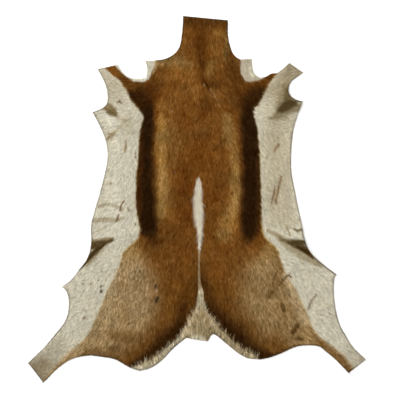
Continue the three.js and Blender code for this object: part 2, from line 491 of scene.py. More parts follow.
# Soft tones of the white underside, with painted light on the left belly and painted shade on the right
WHITE_TONES = [
    stroke("left foreleg", FORELEG, 0.9, (-280, 352, 40), (-232, 300, 44)),
    # The left belly is painted lighter, as painted light, the light coming from the left
    stroke("left belly, lit", LIT_WHITE, 0.6, (-212, 120, 40), (-222, 50, 44)),
    stroke("left belly, lit rear", LIT_WHITE, 1, (-228, -20, 46), (-235, -95, 44)),
    # Painted highlights where the skin bulges beside the left armpit and on the left belly
    stroke("left armpit, bulge", BULGE_HIGHLIGHT, 0.8, (-250, 228, 12), (-232, 214, 16)),
    stroke("left belly, bulge", BULGE_HIGHLIGHT, 0.6, (-228, 165, 10), (-222, 155, 10)),
    # Painted shade beside the left belly's fold
    stroke("left belly, beside the fold", YELLOWISH_SHADE, 0.5, (-195, 220, 16), (-190, 195, 18)),
    # The right belly is painted darker and yellower, partly as painted shade, the light coming from the
    # left
    stroke("right belly", YELLOWISH_SHADE, 0.9, (225, 215, 50), (225, 60, 50), (232, -45, 44)),
    stroke("right foreleg, dusty", DUSTY, 0.95, (270, 360, 42), (232, 300, 46)),
    stroke("right foreleg, dusty end", LEG_END, 0.2, (288, 360, 22), (251, 346, 20)),
    stroke("left hind leg, grey end", LEG_END, 0.9, (-450, -486, 46), (-430, -462, 26)),
    stroke("left hind leg, greyer towards the end", LEG_END, 0.3, (-420, -455, 56), (-385, -410, 36)),
    stroke("right hind leg, greyish end", LEG_END, 0.2, (460, -455, 34), (430, -420, 22)),
]

# White hair of its own, over the fawn
WHITE_TUFTS = [
    stroke(
        "left shoulder tab, white rim", WHITE, 1,
        (-129, 396, 12), (-131, 374, 12), (-136, 360, 11.5), (-141, 345, 11), (-150, 338, 9.5),
        (-176, 338, 7.5), (-188, 341, 3), (-200, 348, 3), (-212, 363, 4.6), (-225, 378, 6.5),
    ),
    stroke(
        "right shoulder tab, white", TAB, 1,
        (139, 399, 18.5), (139, 374, 19), (140, 360, 19.5), (145, 347, 18), (152, 343, 13), (160, 342, 11),
        (170, 341, 8), (180, 341, 4), (190, 346, 3),
    ),
    stroke("right shoulder tab, lighter foot", WHITE, 0.8, (153, 352, 9), (150, 366, 7)),
    stroke(
        "crest", CREST, 1,
        (4.6, 62, 1.4), (3.8, 50, 6.4), (2, 28, 9.2), (1, 3, 9), (2.6, -22, 10.8), (5.4, -42, 10.2),
        (6, -64, 6.2), (7, -92, 4.8), (7.2, -118, 3.8), (6.8, -136, 2.4),
    ),
    stroke(
        "parting line", PARTING, 0.9,
        (6.5, -138, 2.6), (6, -154, 3), (5.4, -174, 1.7), (5.2, -196, 2.8), (6.2, -224, 3.6), (8, -242, 5),
    ),
    stroke("tail stub, pale end", TAIL_END, 1, (-26, -378, 4), (-10, -379, 7), (4, -379, 8), (18, -385, 6)),
]
CREST_LINE = next(row["line"] for row in WHITE_TUFTS if row["place"] == "crest")

# Soft tones of the pale rump
RUMP_TONES = [
    stroke(
        "left strip", STRIP_PALE, 0.9,
        (-52, -392, 16), (-90, -434, 20), (-130, -464, 24), (-175, -472, 20),
    ),
    stroke("left strip, duller middle", STRIP_DULL, 0.6, (-112, -447, 8), (-124, -456, 8), (-152, -462, 7)),
    stroke("right strip", STRIP_DULL, 0.9, (62, -378, 14), (100, -410, 16), (140, -438, 18)),
]

# Painted shade of the creases and folds, the armpits' and groins' darker skin, stains, scabs and scratches
MARKS = [
    # The armpits: partly their thin-haired skin and partly painted shade of their folds
    stroke(
        "left armpit, shadowed", GROIN_BROWN, 0.95,
        (-258, 257, 8), (-244, 255, 12), (-233, 246, 10), (-224, 238, 6),
    ),
    stroke("left armpit, pale part", SMEAR_AND_CREASE_SHADE, 0.8, (-250, 264, 7), (-246, 261, 7)),
    stroke(
        "left armpit, darker foot", OLIVE, 0.85,
        (-250, 243, 4), (-241, 240, 7), (-232, 238, 7), (-222, 231, 4),
    ),
    stroke("left armpit, fold", YELLOWISH_SHADE, 0.6, (-220, 230, 5), (-208, 224, 6), (-196, 217, 7)),
    stroke(
        "right armpit, soft shadow", ARMPIT, 0.8,
        (246, 316, 10), (246, 298, 17), (246, 280, 24), (243, 260, 27), (236, 244, 22), (222, 232, 13),
    ),
    stroke(
        "right armpit, shadow towards the belly", ARMPIT, 0.85,
        (252, 250, 13), (270, 254, 13), (286, 258, 11),
    ),
    stroke(
        "right armpit, hollow", OLIVE, 0.9,
        (250, 304, 6), (252, 290, 12), (254, 277, 14), (260, 267, 11), (276, 262, 5),
    ),
    stroke(
        "right armpit, dark fold", OLIVE_DARK, 0.95,
        (272, 268, 8), (258, 264, 14), (244, 257, 15), (233, 249, 11), (224, 243, 6),
    ),
    stroke("right armpit, fold's tail", ARMPIT, 0.7, (228, 240, 6), (214, 229, 6), (201, 224, 4)),
    stroke(
        "right armpit, cut rim", OLIVE_DARK, 0.6,
        (262, 290, 2), (267, 282, 3.2), (279, 273, 3.4), (296, 271, 2),
    ),
    # The groins: partly their thin-haired skin and partly painted shade of their folds
    stroke(
        "left groin, haze above", GROIN_BROWN, 0.75,
        (-298, -116, 5), (-272, -116, 6), (-252, -112, 6), (-234, -107, 4),
    ),
    stroke("left groin, haze", GROIN_HAZE, 0.6, (-262, -134, 8), (-290, -165, 8), (-306, -184, 6)),
    stroke(
        "left groin, brown", GROIN_TAN, 0.95,
        (-298, -130, 10), (-282, -130, 11), (-266, -126, 9), (-250, -119, 6), (-234, -112, 3.5),
    ),
    stroke("left groin, lower haze", GROIN_BROWN, 0.75, (-276, -143, 7), (-292, -158, 7), (-306, -174, 6)),
    stroke("left groin, upper fold", OLIVE_DARK, 0.8, (-294, -121, 3), (-270, -118, 3), (-255, -116, 2.5)),
    stroke(
        "left groin, lower fold", GROIN_DARK, 0.95,
        (-254, -123, 2.5), (-264, -131, 4.5), (-276, -139, 6.5), (-288, -150, 7.5), (-299, -161, 6.5),
        (-311, -175, 5), (-324, -190, 4), (-338, -202, 2.6),
    ),
    stroke("right groin, haze above", GROIN_HAZE, 0.7, (196, -86, 5), (212, -95, 7), (230, -104, 6)),
    stroke(
        "right groin, haze", GROIN_HAZE, 0.8,
        (226, -104, 8), (246, -119, 14), (268, -134, 16), (292, -151, 16), (316, -168, 11), (345, -184, 6),
    ),
    stroke(
        "right groin, shade above", OLIVE, 0.75,
        (230, -112, 4), (252, -116, 6), (276, -118, 8), (292, -120, 7),
    ),
    stroke(
        "right groin, brown", OLIVE_DARK, 0.9,
        (254, -120, 5), (272, -126, 10), (288, -131, 12), (300, -140, 11), (310, -152, 7),
    ),
    stroke("right groin, upper fold", OLIVE_DARK, 0.85, (262, -117, 2.5), (284, -118, 5), (300, -120, 6)),
    stroke("right groin, upper fold's tail", OLIVE, 0.6, (262, -117, 3), (243, -112, 3), (228, -104, 2.5)),
    stroke(
        "right groin, lower fold", GROIN_BLACK, 0.95,
        (276, -129, 2), (286, -136, 3.5), (300, -144, 6), (314, -155, 5.5), (322, -163, 3),
    ),
    stroke("right groin, cut rim", OLIVE, 0.7, (322, -160, 2.6), (344, -176, 2.6), (386, -209, 2.2)),
    # Painted shade along the right belly's rear crease
    stroke("right belly, rear crease", STAIN, 0.7, (248, -77, 3), (255, -92, 3), (259, -100, 2.6)),
    stroke("right belly, rear crease shade", OLIVE, 0.75, (268, -82, 3), (280, -87, 4.4), (292, -84, 3.4)),
    stroke("right belly, yellowish fold", YELLOWISH_SHADE, 0.5, (300, -60, 7), (262, -66, 8), (238, -76, 6)),
    # Painted shade along the left belly's front crease, beside real stains
    stroke(
        "left belly, front crease", SMEAR_AND_CREASE_SHADE, 0.55,
        (-199, 219, 5), (-213, 203, 4.5), (-225, 191, 4.5), (-239, 179, 4),
    ),
    stroke("left belly, front stain", STAIN, 0.55, (-229, 187, 5), (-240, 177, 6.5), (-250, 169, 5)),
    stroke("left belly, front stain above", STAIN, 0.6, (-248, 186, 3), (-245, 181, 2.4)),
    stroke("left belly, front stain below", STAIN, 0.6, (-238, 169, 2.4), (-237, 166, 2.2)),
    stroke(
        "left belly, upright streak", STAIN, 0.95,
        (-198, 165, 1.7), (-197, 152, 3.1), (-199, 144, 3.1), (-201, 134, 1.5),
    ),
    stroke("left belly, middle smear", SMEAR_AND_CREASE_SHADE, 0.45, (-264, 43, 4), (-241, 46, 4)),
    # Painted shade along the creases of the left belly's rear
    stroke(
        "left belly, rear crease shade", SMEAR_AND_CREASE_SHADE, 0.8,
        (-292, -60, 5), (-272, -56, 7), (-247, -55, 8), (-225, -58, 6), (-205, -52, 4),
    ),
    stroke(
        "left belly, crease shade above it", SMEAR_AND_CREASE_SHADE, 0.6,
        (-275, -18, 5), (-250, -13, 6), (-227, -18, 6), (-205, -26, 4),
    ),
    stroke("left belly, rear scab", SCAB, 0.7, (-203, -4, 2.2), (-211, -16, 2.6), (-213, -31, 2.6)),
    stroke("left belly, rear scab below", SCAB, 0.8, (-217, -41, 2.2), (-221, -55, 2.8), (-225, -62, 2.2)),
    stroke("left belly, rear scab beside", SCAB, 0.6, (-193, -23, 2.2), (-190, -32, 2.8)),
    stroke("left belly, grey waves", SMEAR_AND_CREASE_SHADE, 0.5, (-289, -94, 3), (-269, -86, 3.5), (-250, -74, 3.5)),
    stroke("right belly, scratch's halo", STAIN, 0.5, (230, 154, 5), (216, 138, 5)),
    stroke("right belly, claw marks' halo", STAIN, 0.45, (234, 60, 5), (226, 30, 6), (214, 0, 6)),
    stroke("right belly, upper scratch", SCAB, 0.9, (230, 154, 1.9), (216, 138, 1.9)),
    stroke(
        "right belly, first claw mark", SCAB, 0.9,
        (235, 66, 1.8), (231, 46, 1.6), (225, 24, 2.2), (219, -11, 1.8),
    ),
    stroke("right belly, second claw mark", SCAB, 0.9, (218, 40, 1.5), (214, 18, 2.4), (207, -10, 1.8)),
    stroke("left foreleg, star", SCRATCH, 0.8, (-223, 268, 2), (-216, 273, 3), (-210, 267, 2)),
    stroke("left foreleg, line of the star", SCRATCH, 0.6, (-216, 279, 1.8), (-217, 271, 2.4)),
    stroke("right hind leg, scratch", SCRATCH, 0.8, (333, -265, 2), (319, -284, 2), (309, -307, 2.4)),
    stroke("right hind leg, hook", SCRATCH, 1, (249, -214, 2.2), (256, -210, 2.2), (263, -217, 2.4)),
    stroke(
        "right haunch, long scratch", HAUNCH_MARK, 0.95,
        (221, -203, 2.2), (214, -223, 2.6), (208, -245, 2.2),
    ),
    stroke(
        "right haunch, slanting scratch", HAUNCH_MARK, 0.85,
        (249, -214, 2), (232, -235, 2.4), (212, -259, 3.2), (198, -273, 3.4),
    ),
    stroke(
        "right haunch, upper smudge", HAUNCH_BROWN, 0.7,
        (223, -222, 9), (218, -246, 10), (200, -268, 10),
    ),
    stroke("right haunch, middle patch", HAUNCH_MARK, 0.6, (237, -293, 6), (243, -310, 6)),
    stroke("right haunch, low patch", HAUNCH_MARK, 0.75, (279, -352, 7), (269, -371, 8)),
    stroke("right haunch, edge patch", HAUNCH_MARK, 0.7, (279, -388, 5), (296, -391, 4)),
    stroke("right rump, scratch", HAUNCH_MARK, 0.85, (97, -270, 2), (81, -287, 2)),
    stroke("left haunch, upper spot", HAUNCH_SCAB, 0.95, (-115, -239, 4), (-114, -244, 4.4)),
    stroke("left haunch, pale between the spots", PALE, 0.8, (-112, -252, 2.6), (-111, -257, 2.4)),
    stroke("left haunch, lower spot", HAUNCH_SCAB, 0.95, (-109, -274, 5), (-115, -284, 3.6)),
    stroke("left haunch, low smudge", HAUNCH_MARK, 0.2, (-240, -420, 11), (-228, -410, 9)),
    stroke("back, scratch", SPINE_DARK, 0.95, (78, 170, 2.6), (67, 158, 3.4), (57, 149, 4), (46, 138, 3.2)),
    stroke("back, dark before the hole", SPINE_DARK, 0.85, (14, 330, 3), (16, 320, 2.4)),
    stroke("back, bent line", SPINE_DARK, 0.55, (31, 306, 2.4), (41, 294, 2.4), (52, 276, 2)),
    stroke(
        "back, light beside the line", SCAR, 0.75,
        (33, 311, 1.8), (45, 296, 2.2), (56, 276, 2.2), (60, 262, 1.8),
    ),
    # Painted shadow along the hole's right side
    stroke(
        "back, shadow beside the hole", HOLE_SHADOW, 0.9,
        (23, 327, 1.8), (27, 323, 2.6), (30, 318, 2.6), (31, 308, 2),
    ),
]

# Scabs, specks and other small spots
SPOTS = [
    *spots(
        "left belly", SCAB,
        (-171, 130, 3), (-171, 120, 3.2), (-213, 58, 2.2), (-241, 45, 2.4), (-172, -68, 2.8),
        (-176, -76, 2.2), (-296, -235, 2.8), (-314, -331, 3.8), (-310, -310, 2.8), (-239, 326, 2.2),
        (-222, 322, 2.2), (-238, 184, 2), (-246, 174, 2.4), (-250, 183, 1.8), (-243, 244, 3),
        (-236, 241, 2.4), (-251, 251, 2.4), (-246, 262, 2),
    ),
    *spots(
        "left hind leg", SPECK,
        (-268, -242, 3.8), (-267, -256, 4.8), (-275, -226, 2.6), (-318, -235, 2.6),
    ),
    *spots(
        "right belly", STAIN,
        (216, 204, 2.2), (225, 173, 3.2), (184, 150, 2.6), (195, 264, 2), (253, 227, 2), (261, -52, 2.6),
        (201, -81, 2.6), (232, 60, 2.6), (240, 315, 3.4),
    ),
    *spots("right hind leg", STAIN, (372, -319, 3.4), (293, -178, 2.5), (456, -444, 4.2), (361, -248, 3.4)),
    *spots(
        "back, dark", SPINE_DARK,
        (-65, 77, 3.4), (-68, 80, 2.8), (70, -6, 3.4), (29, -6, 2.8), (99, 18, 5), (120, 116, 3.9),
        (-40, -72, 3.9), (111, 175, 2.8),
    ),
    *spots("back, pale", PALE, (-60, 73, 1.6), (-80, 98, 1.5), (-72, 249, 1.7), (111, -4, 1.4)),
    *spots("back, hole", HOLE, (20, 322, 3)),
    *spots(
        "haunches", HAUNCH_MARK,
        (-159, -200, 3.6), (-190, -345, 3.4), (258, -269, 2.8), (127, -212, 3.4), (146, -220, 2.8),
        (181, -220, 3.4), (-219, -326, 2.8),
    ),
]

# How the coat lies, as (x, y, turn). Turn is its angle away from the tail, outwards, in degrees. The
# other side of the spine is its mirror image.
LAY = {
    "neck": (0, 450, 0),
    "side of neck": (60, 440, 10),
    "shoulder": (120, 350, 25),
    "foreleg": (250, 340, 120),
    "armpit": (240, 260, 80),
    "front of back": (0, 250, 0),
    "middle of back": (0, 50, 0),
    "side of back": (90, 60, 6),
    "flank": (150, 100, 12),
    "front of belly": (230, 100, 35),
    "belly": (240, -50, 40),
    "rear flank": (150, -60, 15),
    "groin": (300, -150, 60),
    "haunch": (140, -230, 12),
    "outer haunch": (240, -320, 22),
    "hind leg": (330, -350, 46),
    "hind foot": (420, -440, 46),
    "buttock": (140, -430, 5),
    "rump": (0, -330, 0),
}

# How long the hair is, as (x, y, length), on both sides of the spine
LENGTHS = {
    "neck": (0, 450, 11),
    "back": (0, 100, 9.5),
    "flank": (150, 60, 9),
    "foreleg": (250, 330, 6.5),
    "belly": (235, 60, 7.5),
    "groin": (290, -160, 7),
    "haunch": (160, -280, 9),
    "hind leg": (400, -420, 6.5),
    "rump": (0, -330, 13),
    "buttock": (130, -430, 13),
}

# Fine creases of the leather beyond the CAD model's puckers, as soft ridges: (start, end, width, rise)
CREASES = {
    "left armpit, front": ((-262, 268), (-222, 262), 26, 2.2),
    "left armpit, rear": ((-276, 240), (-200, 216), 22, 2.4),
    "right armpit, front": ((270, 296), (222, 266), 26, 2.2),
    "right armpit, rear": ((286, 262), (206, 222), 22, 2.6),
    "left groin, upper": ((-300, -128), (-226, -104), 22, 3),
    "left groin, lower": ((-318, -186), (-250, -128), 24, 3),
    "right groin, upper": ((306, -118), (238, -106), 22, 3),
    "right groin, lower": ((352, -182), (262, -132), 24, 3),
    "left belly, front": ((-272, 204), (-200, 212), 18, 1.4),
    "left belly, rear": ((-292, -58), (-222, -60), 20, 1.6),
    "left belly, waves": ((-290, -92), (-246, -72), 16, 1.2),
    "right belly, rear": ((300, -84), (248, -72), 20, 1.6),
    "right groin, slanting": ((296, -160), (206, -90), 18, 1.6),
}

# The pieces that the hair is parted into, as (left, right, below, above)
HAIR_PIECES = {
    "hair_neck_and_shoulders": (-600, 600, 205, 600),
    "hair_left_side": (-600, -60, -125, 205),
    "hair_right_side": (60, 600, -125, 205),
    "hair_back": (-60, 60, -125, 205),
    "hair_left_haunch": (-600, -60, -600, -125),
    "hair_right_haunch": (60, 600, -600, -125),
    "hair_rump": (-60, 60, -600, -125),
}


def ease(value, low, high):
    """0 below low, 1 above high and smooth between."""
    share = np.clip((value - low) / (high - low), 0, 1)
    return share * share * (3 - 2 * share)


def midway(share):
    """1 where a share is one half, and 0 at both its ends."""
    return 4 * share * (1 - share)


def linear(colour):
    """An sRGB colour from 0 to 255 as linear light from 0 to 1."""
    share = np.clip(np.asarray(colour, float) / 255, 0, 1)
    return np.where(share <= 0.04045, share / 12.92, ((share + 0.055) / 1.055) ** 2.4)


def albedo(coat):
    """How bright the hair is painted, so that the lit coat comes out in the tables' colours."""
    return GAIN * linear(coat) ** CONTRAST


def vary(coat, tone):
    """The coat's colours made lighter or darker by a share for each hair."""
    light = coat @ np.array(LUMINANCE) + FAINTEST
    own = OWN_COLOUR * tone[:, None] * coat
    return coat + own + (1 - OWN_COLOUR) * (tone * light)[:, None]


def blotches(pattern, x, y):
    """One of the smooth random patterns, up to its strength either way."""
    size, strength, seed = PATTERNS[pattern]
    lattice = np.random.default_rng(SEED + seed).uniform(-1, 1, (LATTICE, LATTICE))
    column, row = np.floor(x / size), np.floor(y / size)
    across, along = ease(x / size - column, 0, 1), ease(y / size - row, 0, 1)
    column, row = column.astype(int), row.astype(int)
    here, right = column % LATTICE, (column + 1) % LATTICE
    this, upper = row % LATTICE, (row + 1) % LATTICE
    low = lattice[this, here] * (1 - across) + lattice[this, right] * across
    high = lattice[upper, here] * (1 - across) + lattice[upper, right] * across
    return strength * (low * (1 - along) + high * along)


def near(table, x, y):
    """A table's values at named places, blended by how near each place is, with the sides mirrored."""
    total = np.zeros_like(x)
    weights = np.zeros_like(x)
    for place_x, place_y, value in table.values():
        apart = (np.abs(x) - place_x) ** 2 + (y - place_y) ** 2
        weight = 1 / (apart + NEAR_BLUR**2) ** 1.5
        total += weight * value
        weights += weight
    return total / weights


def lay_angle(x, y):
    """The way the coat lies in plan, as an angle from the tail, counted towards the right."""
    turn = np.radians(near(LAY, x, y)) * np.tanh(x / LAY_CENTRE)
    return turn + np.radians(blotches("lay", x, y))


def streaks(pattern, x, y, steps):
    """A random pattern drawn out along the lay, over this many steps of its size either way."""
    angle = lay_angle(x, y)
    total = np.zeros_like(x)
    for step in range(-steps, steps + 1):
        reach = step * PATTERNS[pattern][0]
        total += blotches(pattern, x + np.sin(angle) * reach, y - np.cos(angle) * reach)
    return total / np.sqrt(2 * steps + 1) * STREAK_GAIN


def closeness(line, x, y):
    """Distance to a line of (x, y, half width) points, as a share of its half width there."""
    nearest = np.full_like(x, np.inf)
    for (x0, y0, width0), (x1, y1, width1) in zip(line, line[1:]):
        along_x, along_y = x1 - x0, y1 - y0
        share = np.clip(((x - x0) * along_x + (y - y0) * along_y) / (along_x**2 + along_y**2), 0, 1)
        apart = np.hypot(x - x0 - share * along_x, y - y0 - share * along_y)
        nearest = np.minimum(nearest, apart / (width0 + (width1 - width0) * share))
    return nearest


def tint(coat, x, y, rows, core, rim):
    """Paints each row's tone along its line, full inside core half widths and gone at rim of them."""
    for row in rows:
        points = np.array(row["line"], float)
        reach = points[:, 2].max() * rim
        low, high = points[:, :2].min(axis=0) - reach, points[:, :2].max(axis=0) + reach
        inside = (x > low[0]) & (x < high[0]) & (y > low[1]) & (y < high[1])
        if inside.any():
            apart = closeness(row["line"], x[inside], y[inside])
            weight = (row["strength"] * (1 - ease(apart, core, rim)))[:, None]
            coat[inside] = coat[inside] * (1 - weight) + np.array(row["tone"]) * weight


def up_the_hide(table):
    """A border's columns, from its lowest point up."""
    return np.array(table, float)[::-1].T


def border(table, x, y):
    """How far a place lies to the right of a line that runs down the hide, square to the line."""
    heights, places = up_the_hide(table)[:2]
    ahead = np.interp(y + BORDER_STEP, heights, places)
    slope = (ahead - np.interp(y - BORDER_STEP, heights, places)) / (2 * BORDER_STEP)
    return (x - np.interp(y, heights, places)) / np.hypot(1, slope)


def softness(table, y):
    heights, _, soft = up_the_hide(table)
    return np.interp(y, heights, soft)


def whiteness(x, y):
    """1 on the white underside and 0 on the fawn."""
    ragged = blotches("white border", x, y) + blotches("white border, fine", x, y)
    left_edge, right_edge = softness(LEFT_BELLY, y), softness(RIGHT_BELLY, y)
    left = ease(ragged - border(LEFT_BELLY, x, y), -left_edge, left_edge)
    right = ease(ragged + border(RIGHT_BELLY, x, y), -right_edge, right_edge)
    return np.maximum(left, right)


def rump_depth(x, y):
    """How deep inside the pale rump patch a place lies. It is negative outside the patch."""
    depth = np.minimum(border(RUMP_LEFT, x, y), -border(RUMP_RIGHT, x, y))
    top = RUMP_LEFT[0][0]
    return np.where(y < top, depth, -RUMP_FAR)


def blend(under, over, share):
    """One colour laid over another, by a share for each place."""
    return under * (1 - share[:, None]) + over * share[:, None]


def tinge(coat, shares, amount):
    """The coat with its red, green and blue brought towards shares of them, by an amount for each place."""
    return coat * (1 - amount[:, None] * (1 - np.array(shares)))


def haunchness(x, y):
    """1 on the grizzled haunches and 0 on the back."""
    return ease(-y, *HAUNCH_BELOW) * ease(np.abs(x), *HAUNCH_ASIDE)


def fawn_at(x, y, drift_x, drift_y):
    """The brown back, neck and haunches."""
    fawn = np.tile(np.array(FAWN, float), (len(x), 1))
    tint(fawn, drift_x, drift_y, FAWN_TONES, *FAWN_RIM)
    haunch = haunchness(x, y)
    calm = 1 - HAUNCH_CALM * haunch
    shade = blotches("fawn shade, wide", x, y) + blotches("fawn shade", x, y)
    shade += calm * blotches("fawn shade, small", x, y)
    warmth = calm * (blotches("fawn warmth", x, y) + blotches("fawn warmth, small", x, y))
    fawn = tinge(fawn, FAWN_TINGE, 1 - haunch)
    return fawn * (1 + shade)[:, None] * (1 + warmth[:, None] * np.array(WARMING))


def white_at(x, y, drift_x, drift_y):
    """The white belly and legs, with their dust."""
    white = np.tile(np.array(WHITE, float), (len(x), 1))
    tint(white, drift_x, drift_y, WHITE_TONES, *WHITE_RIM)
    white *= (1 + blotches("white shade", x, y) + blotches("white shade, small", x, y))[:, None]
    dust = ease(blotches("dust", x, y), *DUST_RANGE) * ease(blotches("dusty places", x, y), *DUSTY_RANGE)
    return blend(white, np.array(STAIN), DUST_SHARE * dust)


def rump_at(x, y, depth):
    """The pale patch round the tail."""
    rump = blend(np.array(RUMP_RIM), np.array(RUMP), ease(depth, *RUMP_RIM_DEPTH))
    tint(rump, x, y, RUMP_TONES, *RUMP_STROKE_RIM)
    return rump * (1 + blotches("rump shade", x, y) + blotches("rump shade, small", x, y))[:, None]


def coat_at(x, y):
    """The coat's colour, before the differences between one hair and the next."""
    drift_x = x + blotches("drift across", x, y)
    drift_y = y + blotches("drift along", x, y)
    covered = whiteness(x, y)
    coat = blend(fawn_at(x, y, drift_x, drift_y), white_at(x, y, drift_x, drift_y), covered)
    coat = tinge(coat, BORDER_TINGE, midway(covered) * (1 - HAUNCH_FRAY * haunchness(x, y)))
    depth = rump_depth(x, y) + blotches("rump border", x, y)
    pale = ease(depth, -RUMP_SOFTNESS, RUMP_SOFTNESS)
    coat = tinge(blend(coat, rump_at(x, y, depth), pale), BORDER_TINGE, RUMP_FRAY * midway(pale))
    tint(coat, x + blotches("tuft border", x, y), y, WHITE_TUFTS, *TUFT_RIM)
    # The marks drift a quarter as far as the soft tones.
    tint(coat, (drift_x + 3 * x) / 4, (drift_y + 3 * y) / 4, MARKS, *MARK_RIM)
    tint(coat, x, y, SPOTS, *SPOT_RIM)
    return coat


def tuft_distance(x, y):
    """Distance to the nearest white tuft, in its half widths."""
    return np.min([closeness(row["line"], x, y) for row in WHITE_TUFTS], axis=0)


def tone_at(x, y, clump_tone, rng):
    """How much lighter or darker each hair is than the coat round about."""
    on_tuft = 1 - ease(tuft_distance(x, y), *TUFT_RIM)
    fawn = (1 - whiteness(x, y)) * (1 - on_tuft)
    haunch = fawn * haunchness(x, y)
    rump = ease(rump_depth(x, y), *RUMP_TONE_DEPTH)
    differences = {
        "own": rng.normal(size=len(x)).clip(*OWN_RANGE) + OWN_LIFT,
        "clump": clump_tone,
        "short streaks": streaks("short streaks", x, y, 1),
        "long streaks": streaks("long streaks", x, y, 2),
        "flecks": ease(-blotches("flecks", x, y), *FLECK_RANGE),
        "specks": (1 - fawn) * ease(streaks("specks", x, y, 1), *SPECK_RANGE),
    }
    tone = np.full(len(x), TONE_LIFT)
    for kind, difference in differences.items():
        on_all, on_fawn, on_haunch, on_rump = TONE_SHARES[kind]
        tone += (on_all + on_fawn * fawn + on_haunch * haunch + on_rump * rump) * difference
    return tone


def crease_height(x, y):
    height = np.zeros_like(x)
    for start, end, width, rise in CREASES.values():
        apart = np.minimum(closeness([(*start, width / 2), (*end, width / 2)], x, y), 1)
        height = np.maximum(height, rise * (1 - apart**2) ** 2)
    return height


# The skin

def make_underside(node):
    """The CAD node's underside, facing up, cut finer and with its small creases."""
    sheet = bmesh.new()
    sheet.from_mesh(node.data)
    bmesh.ops.remove_doubles(sheet, verts=sheet.verts, dist=WELD)
    others = [face for face in sheet.faces if face.normal.z > -UPRIGHT]
    bmesh.ops.delete(sheet, geom=others, context="FACES")
    bmesh.ops.reverse_faces(sheet, faces=sheet.faces)
    bmesh.ops.subdivide_edges(sheet, edges=sheet.edges, cuts=SKIN_CUTS, use_grid_fill=True)
    bmesh.ops.triangulate(sheet, faces=sheet.faces)
    for _ in range(SMOOTHINGS):
        bmesh.ops.smooth_vert(
            sheet, verts=sheet.verts, factor=0.5, use_axis_x=False, use_axis_y=False, use_axis_z=True
        )
    places = np.array([vert.co for vert in sheet.verts]) / MM
    for vert, rise in zip(sheet.verts, crease_height(places[:, 0], places[:, 1])):
        vert.co.z += rise * MM
    return sheet


def thicken(sheet):
    """Gives the leather its thickness, as a closed mesh."""
    lower = sheet.faces[:]
    grown = bmesh.ops.extrude_face_region(sheet, geom=lower, use_keep_orig=True)
    upper = [part for part in grown["geom"] if isinstance(part, bmesh.types.BMVert)]
    bmesh.ops.translate(sheet, verts=upper, vec=(0, 0, SKIN_THICKNESS * MM))
    bmesh.ops.reverse_faces(sheet, faces=lower)
    bmesh.ops.recalc_face_normals(sheet, faces=sheet.faces)
    bmesh.ops.triangulate(sheet, faces=sheet.faces)


def make_skin(sheet, edges, materials):
    thicken(sheet)
    mesh = bpy.data.meshes.new("skin")
    sheet.to_mesh(mesh)
    for material in materials:
        mesh.materials.append(material)
    upward = np.array([face.normal.z for face in mesh.polygons])
    side = np.where(upward > UPRIGHT, 0, np.where(upward < -UPRIGHT, 1, 2))
    mesh.polygons.foreach_set("material_index", side)
    x, y = (np.array([vert.co[axis] for vert in mesh.vertices]) / MM for axis in (0, 1))
    apart, _, _ = edge_distance(edges, x, y)
    # The coat's colour, darkened as painted shade under the hair
    under = darken_edge_with_shadow(coat_at(x, y), apart, x, y) * UNDERCOAT_SHADE
    paint(mesh, albedo(under))
    return add_object("skin", mesh)


def add_object(name, mesh):
    piece = bpy.data.objects.new(name, mesh)
    bpy.context.scene.collection.objects.link(piece)
    return piece


def cut_edge(sheet):
    """Start and end of each stretch of the cut edge, in millimetres, with the hide on its left."""
    stretches = []
    for edge in sheet.edges:
        if edge.is_boundary:
            loop = edge.link_loops[0]
            stretches.append((loop.vert.co.xy, loop.link_loop_next.vert.co.xy))
    return np.array(stretches) / MM


def edge_distance(stretches, x, y):
    """Distance in from the cut edge, and the way out across it."""
    start = stretches[:, 0]
    along = stretches[:, 1] - start
    length = np.hypot(along[:, 0], along[:, 1])
    apart, nearest = np.zeros(len(x)), np.zeros(len(x), int)
    for first in range(0, len(x), EDGE_BATCH):
        rows = slice(first, first + EDGE_BATCH)
        from_x, from_y = x[rows, None] - start[:, 0], y[rows, None] - start[:, 1]
        share = np.clip((from_x * along[:, 0] + from_y * along[:, 1]) / length**2, 0, 1)
        distance = np.hypot(from_x - share * along[:, 0], from_y - share * along[:, 1])
        nearest[rows] = distance.argmin(axis=1)
        apart[rows] = distance.min(axis=1)
    return apart, along[nearest, 1] / length[nearest], -along[nearest, 0] / length[nearest]


def darken_edge_with_shadow(coat, apart, x, y):
    """The thin dark line along the cut, stronger in some stretches than in others: partly the leather's
    edge and partly painted shadow beside it.
    """
    strength = (CUT_STRENGTH + blotches("cut edge", x, y)) * ease(tuft_distance(x, y), *CUT_TUFTS)
    return blend(coat, np.array(CUT_EDGE_AND_SHADOW), strength * (1 - ease(apart, *CUT_LINE)))


def paint(mesh, colours):
    shades = mesh.attributes.new("coat", "FLOAT_COLOR", "POINT")
    shades.data.foreach_set("color", np.column_stack([colours, np.ones(len(colours))]).ravel())


# The hair

def plant(sheet, rng):
    """Roots scattered evenly over the skin, in millimetres, and the skin's normal at each."""
    corners = np.array([[vert.co for vert in face.verts] for face in sheet.faces]) / MM
    normals = np.cross(corners[:, 1] - corners[:, 0], corners[:, 2] - corners[:, 0])
    doubled = np.linalg.norm(normals, axis=1)
    normals /= doubled[:, None]
    counts = np.floor(doubled / 2 * HAIRS_PER_MM2 + rng.random(len(doubled))).astype(int)
    face = np.repeat(np.arange(len(counts)), counts)
    first, second = rng.random((2, len(face), 1))
    folded = first + second > 1
    first, second = np.where(folded, 1 - first, first), np.where(folded, 1 - second, second)
    corner, right, left = corners[face].swapaxes(0, 1)
    root = corner + first * (right - corner) + second * (left - corner)
    root[:, 2] += SKIN_THICKNESS
    return root, normals[face]


